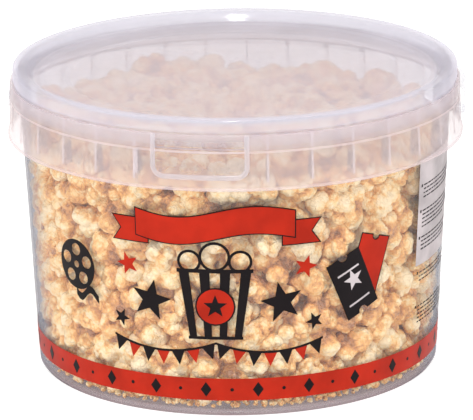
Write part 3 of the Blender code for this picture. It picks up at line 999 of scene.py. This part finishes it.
def form_surface(form, directions):
    """Reach of a form in each direction, and how toasted it is there, with its deeper parts darker, partly
    as painted shade.
    """
    along = directions @ form["lobe_ways"].T * form["offsets"]
    inside = along ** 2 - form["offsets"] ** 2 + form["radii"] ** 2
    hit = (inside > 0.0) & (along > 0.0)
    reaches = np.where(hit, along + np.sqrt(np.maximum(inside, 0.0)), form["base"])
    ordered = np.maximum(np.sort(reaches, axis=1), form["base"])
    reach = ordered[:, -1]
    crease = np.exp(-(reach - ordered[:, -2]) / CREASE_WIDTH)
    closeness = np.sort(directions @ form["nub_ways"].T, axis=1)
    gaps = np.sqrt(np.maximum(2.0 - 2.0 * closeness, 0.0))
    nearest = gaps[:, -1]
    fold = np.exp(-(gaps[:, -2] - nearest) / FOLD_WIDTH)
    hollow = FOLD_DEPTH * fold + NUB_ROUNDNESS * nearest ** 2
    reach = reach - form["nub_height"] * hollow - CREASE_DEPTH * crease
    phases = directions @ form["wave_ways"].T * form["wave_paces"] + form["wave_starts"]
    waves = np.sin(phases).sum(1)
    # Deeper parts darker: partly caramel gathered there, partly painted shade
    depth = (reach.max() - reach) / (reach.max() - reach.min())
    toast_and_shade = TOAST_START + TOAST_CREASE * crease + TOAST_FOLD * fold + TOAST_DEPTH_AND_SHADE * depth ** 1.4
    return reach, toast_and_shade + TOAST_WAVES * waves


def random_turns(count, rng):
    """Random rotation matrices."""
    w, x, y, z = unit(rng.normal(size=(count, 4))).T
    return np.array([
        [1 - 2 * (y * y + z * z), 2 * (x * y - z * w), 2 * (x * z + y * w)],
        [2 * (x * y + z * w), 1 - 2 * (x * x + z * z), 2 * (y * z - x * w)],
        [2 * (x * z - y * w), 2 * (y * z + x * w), 1 - 2 * (x * x + y * y)],
    ]).transpose(2, 0, 1)


def heap_mound(share):
    """Height of the mound at a share of the way from its middle to its edge."""
    return HEAP_CENTRE_Z - (HEAP_CENTRE_Z - HEAP_EDGE_Z) * share ** 2


def heap_height(x, y):
    """Height of the heap's surface, with uneven waves of 8 to 13 cm, lower towards the back."""
    mound = heap_mound(np.minimum(np.hypot(x, y) / wall_radius(HEAP_EDGE_Z), 1.0))
    ripple = np.sin(61.0 * x + 1.3) * np.cos(47.0 * y + 0.4) + 0.6 * np.sin(38.0 * x - 71.0 * y + 2.1)
    return mound - HEAP_SETTLED - HEAP_TILT * y + RIPPLE_HEIGHT * ripple


def settle(places, radii, confine, rounds=140, push=0.35):
    """Pushes overlapping balls apart, while confine keeps each layer in its place."""
    count = len(places)
    touching = radii[:, None] + radii[None]
    for _ in range(rounds):
        apart = places[:, None] - places[None]
        distance = np.sqrt((apart ** 2).sum(2)) + np.eye(count)
        overlap = np.clip(touching - distance, 0.0, None) * (1.0 - np.eye(count))
        places = places + push * (apart / distance[:, :, None] * overlap[:, :, None]).sum(1)
        places = confine(places)
    return places


def wall_layer(count, rng, inset, packing):
    """Places and radii of flakes in a layer at a depth behind the wall."""
    radii = FLAKE_RADIUS * rng.uniform(*SIDE_SIZES, count)
    angles = rng.uniform(0.0, math.tau, count)
    heights = rng.uniform(FLOOR_TOP + 0.008, HEAP_EDGE_Z - 0.006, count)
    places = on_turns(angles, inner_wall(heights) - radii - inset, heights)

    def confine(points):
        x, y, z = points.T
        z = np.clip(z, FLOOR_TOP + SUNK_SHARE * radii, heap_height(x, y) - 0.9 * radii)
        scale = (inner_wall(z) - radii - inset) / np.hypot(x, y)
        return np.stack([x * scale, y * scale, z], 1)

    return settle(places, packing * radii, confine), radii


def top_layer(count, rng, packing):
    """Places and radii of the flakes on top of the heap."""
    radii = FLAKE_RADIUS * rng.uniform(*TOP_SIZES, count)
    reach = (inner_wall(HEAP_EDGE_Z) - FLAKE_RADIUS) * np.sqrt(rng.uniform(0.0, 1.0, count))
    angles = rng.uniform(0.0, math.tau, count)
    jitter = rng.uniform(*TOP_JITTER, count)

    def confine(points):
        x, y, z = points.T
        scale = np.minimum((inner_wall(HEAP_EDGE_Z) - radii) / (np.hypot(x, y) + TINY), 1.0)
        x, y = x * scale, y * scale
        lift = heap_height(x, y) - SUNK_SHARE * radii + jitter
        return np.stack([x, y, np.minimum(lift, LID_UNDERSIDE - 1.25 * radii)], 1)

    return settle(on_turns(angles, reach, np.zeros(count)), packing * radii, confine), radii


def outward_frames(places):
    """Frames whose first axis points away from the middle of the heap, and rather level."""
    first = unit((places - np.array([0.0, 0.0, HEAP_MIDDLE_Z])) * np.array([1.0, 1.0, 0.5]))
    second = unit(np.cross(np.array([0.0, 0.0, 1.0]), first))
    return np.stack([first, second, np.cross(first, second)], 1)


def flakes(places, radii, forms, ball, rng, tone_spread=TONE_SPREAD):
    """Joined flakes: arrays of points, faces and how toasted and shaded each point is, each kept inside the
    wall.

    The points crowd on each flake's outward side, where it is seen.
    """
    directions, ball_faces = ball
    crowded = unit(directions + np.array([CROWDING, 0.0, 0.0]))
    frames = outward_frames(places)
    tones = rng.normal(0.0, tone_spread, len(places))
    kinds = rng.integers(0, len(forms), len(places))
    turns = random_turns(len(places), rng)
    stretches = rng.uniform(*STRETCHES, (len(places), 3))
    points = []
    toasts_and_shades = []
    for index, (place, radius) in enumerate(zip(places, radii)):
        ways = crowded @ frames[index]
        reach, toast_and_shade = form_surface(forms[kinds[index]], ways @ turns[index])
        cloud = ways * (reach / reach.mean())[:, None] * stretches[index] * radius + place
        cloud[:, 2] += max(0.0, FLOOR_TOP + WALL_CLEARANCE - cloud[:, 2].min())
        cloud[:, 2] -= max(0.0, cloud[:, 2].max() - LID_UNDERSIDE + WALL_CLEARANCE)
        flat_reach = np.hypot(cloud[:, 0], cloud[:, 1])
        excess = max(0.0, (flat_reach - inner_wall(cloud[:, 2])).max())
        cloud[:, :2] -= excess * place[:2] / (np.hypot(place[0], place[1]) + TINY)
        points.append(cloud)
        toasts_and_shades.append(toast_and_shade + tones[index])
    starts = len(directions) * np.arange(len(places))
    faces = (ball_faces[None] + starts[:, None, None]).reshape(-1, 3)
    return np.concatenate(points), faces, np.concatenate(toasts_and_shades)


def ride_as_popcorn(item):
    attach(item, "tub")
    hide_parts("popcorn")


def make_core(material, rings=8):
    """Plug behind the flakes, so that no light shows through the heap. Its dark coat is painted shade of the
    popcorn deep in the heap.
    """
    rim = inner_wall(HEAP_EDGE_Z) - CORE_DEPTH
    foot = FLOOR_TOP + CORE_LIFT
    outline = [(rim * ring / rings, heap_mound(ring / rings) - CORE_SUNK) for ring in range(rings + 1)]
    outline += [(inner_wall(FLOOR_TOP) - CORE_DEPTH, foot), (0.0, foot)]
    shape = turned(outline, steps=96)
    ride_as_popcorn(object_from_bmesh(
        "popcorn_core", shape, material, lambda place, normal: CORE_SHADE_TOAST, attribute_name="toast_and_shade",
    ))


def make_crumbs(material, rng):
    """Small broken bits that have sunk to the floor along the wall."""
    forms = make_forms(CRUMB_FORMS, rng)
    radii = rng.uniform(*CRUMB_RADII, CRUMB_COUNT)
    angles = rng.uniform(0.0, math.tau, CRUMB_COUNT)
    heights = FLOOR_TOP + radii + rng.uniform(0.0, 1.0, CRUMB_COUNT) ** 2.5 * CRUMB_PILE
    reach = inner_wall(heights) - radii - rng.uniform(0.0, CRUMB_SPREAD, CRUMB_COUNT)
    arrays = flakes(on_turns(angles, reach, heights), radii, forms, unit_ball(2), rng, CRUMB_TONE_SPREAD)
    ride_as_popcorn(object_from_arrays("popcorn_crumbs", *arrays, material))


def make_popcorn():
    material = popcorn_material()
    rng = np.random.default_rng(SEED)
    make_core(material)
    forms = make_forms(FLAKE_FORMS, rng)
    fine, rough = unit_ball(4), unit_ball(3)
    places, radii = wall_layer(SIDE_FLAKES, rng, 0.0, CLOSE_PACKING)
    order = np.argsort(np.arctan2(places[:, 0], -places[:, 1]))
    for part, chosen in enumerate(np.array_split(order, 3)):
        arrays = flakes(places[chosen], radii[chosen], forms, fine, rng)
        ride_as_popcorn(object_from_arrays(f"popcorn_side_{part + 1}", *arrays, material))
    places, radii = wall_layer(BEHIND_FLAKES, rng, BEHIND_INSET, LOOSE_PACKING)
    arrays = flakes(places, radii, forms, rough, rng)
    ride_as_popcorn(object_from_arrays("popcorn_behind", *arrays, material))
    places, radii = top_layer(TOP_FLAKES, rng, CLOSE_PACKING)
    for part, chosen in enumerate(np.array_split(np.arange(TOP_FLAKES), 2)):
        arrays = flakes(places[chosen], radii[chosen], forms, fine, rng)
        ride_as_popcorn(object_from_arrays(f"popcorn_top_{part + 1}", *arrays, material))
    make_crumbs(material, rng)


# Flat outlines for the print, in metres round their own middle

def star(outer, inner, turn=0.0, points=5):
    loop = []
    for step in range(2 * points):
        reach = outer if step % 2 == 0 else inner
        angle = turn + 0.5 * math.pi + math.pi * step / points
        loop.append((reach * math.cos(angle), reach * math.sin(angle)))
    return loop


def disc(radius, steps=24):
    turns = [math.tau * step / steps for step in range(steps)]
    return [(radius * math.cos(turn), radius * math.sin(turn)) for turn in turns]


def box_loop(width, height):
    x, y = width / 2, height / 2
    return [(-x, -y), (x, -y), (x, y), (-x, y)]


def diamond(width, height):
    return [(-width / 2, 0.0), (0.0, -height / 2), (width / 2, 0.0), (0.0, height / 2)]


def moved(loop, x=0.0, y=0.0, turn=0.0):
    cosine, sine = math.cos(turn), math.sin(turn)
    return [(x + cosine * u - sine * v, y + sine * u + cosine * v) for u, v in loop]


def grown(loop, edge):
    """The loop with its outline pushed out by edge."""
    points = [Vector(point) for point in loop]
    following = points[1:] + points[:1]
    area = sum(first.x * second.y - second.x * first.y for first, second in zip(points, following))
    side = 1.0 if area > 0.0 else -1.0
    result = []
    for before, here, after in zip(points[-1:] + points[:-1], points, following):
        way_in = (here - before).normalized()
        way_out = (after - here).normalized()
        first = side * Vector((way_in.y, -way_in.x))
        second = side * Vector((way_out.y, -way_out.x))
        corner = (first + second).normalized()
        result.append(tuple(here + corner * (edge / max(corner.dot(first), 0.5))))
    return result


def strip(line, low, high):
    """Strip along a line, between its copies at low and at high."""
    return moved(line, y=low) + moved(line, y=high)[::-1]


# Print

def add_print(shape, loops, angle, height, layer=0):
    """Bends flat loops onto the wall at an angle and height. A loop inside another is a hole."""
    flat = bmesh.new()
    for loop in loops:
        points = [flat.verts.new((u, v, 0.0)) for u, v in loop]
        for first, second in zip(points, points[1:] + points[:1]):
            flat.edges.new((first, second))
    bmesh.ops.triangle_fill(flat, use_beauty=True, edges=flat.edges)
    low = min(vertex.co.x for vertex in flat.verts)
    high = max(vertex.co.x for vertex in flat.verts)
    for step in range(1, int((high - low) / PRINT_CELL) + 1):
        geometry = flat.verts[:] + flat.edges[:] + flat.faces[:]
        cut = Vector((low + step * PRINT_CELL, 0.0, 0.0))
        bmesh.ops.bisect_plane(flat, geom=geometry, plane_co=cut, plane_no=(1.0, 0.0, 0.0))
    raised = bmesh.ops.extrude_face_region(flat, geom=flat.faces[:], use_keep_orig=True)
    upper = {item for item in raised["geom"] if isinstance(item, bmesh.types.BMVert)}
    bmesh.ops.recalc_face_normals(flat, faces=flat.faces)
    for vertex in flat.verts:
        place = height + vertex.co.y
        lift = PRINT_LIFT + layer * (PRINT_THICKNESS + PRINT_LIFT)
        if vertex in upper:
            lift += PRINT_THICKNESS
        turn = angle + vertex.co.x / wall_radius(height)
        vertex.co = Vector(on_turn(turn, wall_radius(place) + lift, place))
    bmesh.ops.recalc_face_normals(flat, faces=flat.faces)
    if flat.calc_volume(signed=True) < 0.0:
        bmesh.ops.reverse_faces(flat, faces=flat.faces)
    mesh = bpy.data.meshes.new("flat")
    flat.to_mesh(mesh)
    flat.free()
    shape.from_mesh(mesh)
    bpy.data.meshes.remove(mesh)


def print_piece(name, shape, material):
    item = object_from_bmesh(name, shape, material)
    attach(item, "tub")


def make_band(red, dark):
    """Red band round the foot of the wall, with small diamonds and dots on it."""
    lifted = PRINT_LIFT + PRINT_THICKNESS
    shape = turned([
        (wall_radius(BAND_TOP) + lifted, BAND_TOP),
        (wall_radius(BAND_BOTTOM) + lifted, BAND_BOTTOM),
        (wall_radius(BAND_BOTTOM) + PRINT_LIFT, BAND_BOTTOM),
        (wall_radius(BAND_TOP) + PRINT_LIFT, BAND_TOP),
    ], closed=True)
    print_piece("red_band", shape, red)
    marks = bmesh.new()
    middle = 0.5 * (BAND_BOTTOM + BAND_TOP)
    pace = math.tau / BAND_MARKS
    for index in range(BAND_MARKS):
        add_print(marks, [diamond(0.0054, 0.0078)], index * pace, middle, layer=1)
        add_print(marks, [disc(0.0009, 10)], (index + 0.5) * pace, middle, layer=1)
    print_piece("band_marks", marks, dark)


def add_ribbon(red, dark, middle, steps=36):
    """Blank waving ribbon with folded tails, high on the wall."""
    half_length, half_height, swell = 0.0400, 0.0068, 0.0030
    root, tip, notch = half_length - 0.0060, half_length + 0.0130, half_length + 0.0085
    low, fork, top = -1.55 * half_height, -0.65 * half_height, 0.25 * half_height
    for side in (-1, 1):
        tail = [(root, low), (tip, low), (notch, fork), (tip, top), (root, top)]
        tail = [(side * x, y) for x, y in tail]
        add_print(dark, [grown(tail, OUTLINE_WIDTH)], middle, RIBBON_Z, layer=1)
        add_print(red, [tail], middle, RIBBON_Z, layer=2)
    wave = []
    for step in range(steps + 1):
        share = 2.0 * step / steps - 1.0
        wave.append((half_length * share, swell * math.sin(math.pi * share)))
    body = strip(wave, -half_height, half_height)
    add_print(dark, [grown(body, OUTLINE_WIDTH)], middle, RIBBON_Z, layer=3)
    add_print(red, [body], middle, RIBBON_Z, layer=4)


def add_carton(red, dark, middle):
    """Striped carton with a puffed top and a round badge."""
    half_height, foot, mouth, stripes = 0.0175, 0.0130, 0.0180, 7
    badge_y, ring_width = -0.0010, 0.0014
    for stripe in range(0, stripes, 2):
        left = 2.0 * stripe / stripes - 1.0
        right = 2.0 * (stripe + 1) / stripes - 1.0
        loop = [
            (left * foot, -half_height), (right * foot, -half_height),
            (right * mouth, half_height), (left * mouth, half_height),
        ]
        add_print(dark, [loop], middle, CARTON_Z)
    for half_width, thickness, y in ((mouth, 0.0020, half_height), (foot, 0.0016, -half_height)):
        bar = moved(box_loop(2.1 * half_width, thickness), y=y)
        add_print(dark, [bar], middle, CARTON_Z, layer=1)
    for x, y, radius in ((-0.0125, 0.0225, 0.0060), (0.0, 0.0250, 0.0078), (0.0125, 0.0225, 0.0060)):
        ring = [moved(disc(radius), x, y), moved(disc(radius - ring_width), x, y)]
        add_print(dark, ring, middle, CARTON_Z, layer=2)
    add_print(dark, [moved(disc(0.0100), y=badge_y)], middle, CARTON_Z, layer=2)
    badge = [moved(disc(0.0092), y=badge_y), moved(star(0.0062, 0.0026), y=badge_y)]
    add_print(red, badge, middle, CARTON_Z, layer=3)


def add_stars(red, dark, middle):
    """Three stars on each side of the carton: ink, outer and inner radius, lean and place."""
    stars = (
        (dark, 0.0110, 0.0046, 0.2, 0.0330, 0.0005),
        (red, 0.0062, 0.0026, -0.3, 0.0450, 0.0180),
        (dark, 0.0048, 0.0020, 0.4, 0.0500, -0.0110),
    )
    for side in (-1, 1):
        for ink, outer, inner, lean, x, y in stars:
            add_print(ink, [moved(star(outer, inner, side * lean), side * x, y)], middle, CARTON_Z)


def add_garland(red, dark, middle, steps=20):
    """Two low swags of bunting."""
    swag_half, sag, pennants = 0.0270, 0.0050, 7
    cord_top, cord_bottom = 0.0008, -0.0004
    flag = [(-0.0034, 0.0), (0.0, -0.0074), (0.0034, 0.0)]
    for side in (-1, 1):
        centre = side * swag_half
        swag = []
        for step in range(steps + 1):
            share = 2.0 * step / steps - 1.0
            swag.append((centre + share * swag_half, -sag * (1.0 - share ** 2)))
        add_print(dark, [strip(swag, cord_bottom, cord_top)], middle, GARLAND_Z, layer=1)
        for index in range(pennants):
            share = 2.0 * (index + 0.5) / pennants - 1.0
            drop = -sag * (1.0 - share ** 2)
            turn = math.atan(2.0 * sag * share / swag_half)
            pennant = moved(flag, x=centre + share * swag_half, y=drop, turn=turn)
            add_print(dark if index % 2 == 0 else red, [pennant], middle, GARLAND_Z)


def add_reel(dark, middle):
    """Round reel with five holes round a small one, and a loose wavy end below it."""
    holes, hole_reach, first_turn = 5, 0.0078, 0.3
    loops = [disc(0.0130, 40), disc(0.0018, 16)]
    for index in range(holes):
        turn = math.tau * index / holes + first_turn
        loops.append(moved(disc(0.0032, 18), hole_reach * math.cos(turn), hole_reach * math.sin(turn)))
    add_print(dark, loops, middle, REEL_Z)
    tape = [(0.0020 * step - 0.0010, -0.0026 * math.sin(0.9 * step) - 0.0120) for step in range(9)]
    add_print(dark, [strip(tape, -0.0040, 0.0)], middle, REEL_Z, layer=1)


def ticket_loop(half_width, half_height, notch, steps=8):
    """Upright ticket with a round notch in the middle of its top and its foot."""
    loop = [(-half_width, -half_height)]
    for end, way in ((-half_height, 1.0), (half_height, -1.0)):
        for step in range(steps + 1):
            turn = math.pi * step / steps
            loop.append((-way * notch * math.cos(turn), end + way * notch * math.sin(turn)))
        loop.append((way * half_width, end))
        loop.append((way * half_width, -end))
    return loop[:-1]


def add_tickets(red, dark, pale, middle):
    """Two tickets, the front one with a star and plain bars."""
    back = moved(ticket_loop(0.0090, 0.0155, 0.0024), x=0.0050, y=0.0040, turn=-0.30)
    add_print(dark, [grown(back, OUTLINE_WIDTH)], middle, TICKET_Z)
    add_print(red, [back], middle, TICKET_Z, layer=1)
    x, y, turn = -0.0040, -0.0040, 0.42
    front = moved(ticket_loop(0.0100, 0.0165, 0.0026), x, y, turn)
    add_print(dark, [front], middle, TICKET_Z, layer=2)
    marks = [moved(star(0.0058, 0.0024), x, y + 0.0025, turn)]
    for bar_y in (-0.0100, 0.0080):
        marks.append(moved(moved(box_loop(0.0130, 0.0010), y=bar_y), x, y, turn))
    for mark in marks:
        add_print(pale, [mark], middle, TICKET_Z, layer=3)


def add_dashes(shape, middle, left, top, rows, width, draw, pitch=0.0021, gap=0.0010):
    """Rows of short thin dashes, as filler where a pack has its small print."""
    for row in range(rows):
        x = left
        end = left + width * draw.uniform(0.6, 1.0)
        while x < end:
            length = draw.uniform(0.0012, 0.0045)
            dash = moved(box_loop(length, 0.0007), x=x + 0.5 * length)
            add_print(shape, [dash], middle, top - pitch * row, layer=1)
            x += length + gap


def make_panel(small, pale):
    """Pale panel at the side, with groups of dashed rows on it and below it."""
    (left, right), (low, high) = PANEL_ANGLES, PANEL_HEIGHTS
    middle, centre = 0.5 * (left + right), 0.5 * (low + high)
    width = (right - left) * wall_radius(centre)
    panel = bmesh.new()
    add_print(panel, [box_loop(width, high - low)], middle, centre)
    print_piece("side_panel", panel, pale)
    rows = bmesh.new()
    draw = np.random.default_rng(5)
    mark_x, row_x = 0.0027 - 0.5 * width, 0.0047 - 0.5 * width
    for top, count in ((0.1040, 4), (0.0905, 5), (0.0765, 4), (0.0580, 3), (0.0400, 5)):
        add_print(rows, [moved(box_loop(0.0014, 0.0014), x=mark_x)], middle, top, layer=1)
        add_dashes(rows, middle, row_x, top, count, 0.8 * width, draw)
    print_piece("side_panel_rows", rows, small)


def make_print():
    """All the print, whose motifs are on the front and again on the back."""
    red_ink, dark_ink, small_ink, pale_ink = [print_material(name) for name in INKS]
    make_band(red_ink, dark_ink)
    red, dark, pale = bmesh.new(), bmesh.new(), bmesh.new()
    for middle in (PRINT_ANGLE, PRINT_ANGLE + math.pi):
        add_ribbon(red, dark, middle)
        add_carton(red, dark, middle)
        add_stars(red, dark, middle)
        add_garland(red, dark, middle)
        add_reel(dark, middle + REEL_ANGLE)
        add_tickets(red, dark, pale, middle + TICKET_ANGLE)
    print_piece("print_red", red, red_ink)
    print_piece("print_dark", dark, dark_ink)
    print_piece("print_pale", pale, pale_ink)
    make_panel(small_ink, pale_ink)


# Camera, lights and floor

def make_camera():
    data = bpy.data.cameras.new("camera")
    data.lens = CAMERA_LENS
    data.sensor_width = 36.0
    data.clip_start = 0.05
    data.clip_end = 60.0
    camera = add_object("camera", data)
    place = Vector(on_turn(CAMERA_ANGLE, CAMERA_REACH, CAMERA_HEIGHT))
    forward = (Vector((0.0, 0.0, CAMERA_AIM_Z)) - place).normalized()
    level_right = forward.cross(Vector((0.0, 0.0, 1.0))).normalized()
    level_up = level_right.cross(forward)
    right = math.cos(CAMERA_ROLL) * level_right + math.sin(CAMERA_ROLL) * level_up
    up = right.cross(forward)
    turn = Matrix((right, up, -forward)).transposed().to_4x4()
    camera.matrix_world = Matrix.Translation(place) @ turn
    bpy.context.scene.camera = camera


def make_lights():
    """White world, and softboxes that face the bucket."""
    world = bpy.data.worlds.new("studio")
    world.use_nodes = True
    background = world.node_tree.nodes["Background"]
    background.inputs["Color"].default_value = (1.0, 1.0, 1.0, 1.0)
    background.inputs["Strength"].default_value = WORLD_LIGHT
    bpy.context.scene.world = world
    for name, (angle_deg, reach, height, width, tall, power) in SOFTBOXES.items():
        data = bpy.data.lights.new(name, "AREA")
        data.shape = "RECTANGLE"
        data.size, data.size_y = width, tall
        data.energy = power
        light = add_object(name, data)
        place = Vector(on_turn(CAMERA_ANGLE + math.radians(angle_deg), reach, height))
        light.location = place
        light.rotation_mode = "QUATERNION"
        light.rotation_quaternion = (place - Vector((0.0, 0.0, SOFTBOX_AIM_Z))).to_track_quat("Z", "Y")


def make_ground():
    bpy.ops.mesh.primitive_circle_add(vertices=96, radius=GROUND_RADIUS, fill_type="NGON")
    ground = bpy.context.object
    ground.name = "floor"
    ground.location.z = GROUND_Z
    ground.data.materials.append(ground_material())


def main():
    bpy.context.scene.view_settings.view_transform = "Standard"
    make_camera()
    make_lights()
    make_ground()
    make_bucket()
    make_lid()
    make_handle()
    make_popcorn()
    make_print()


main()
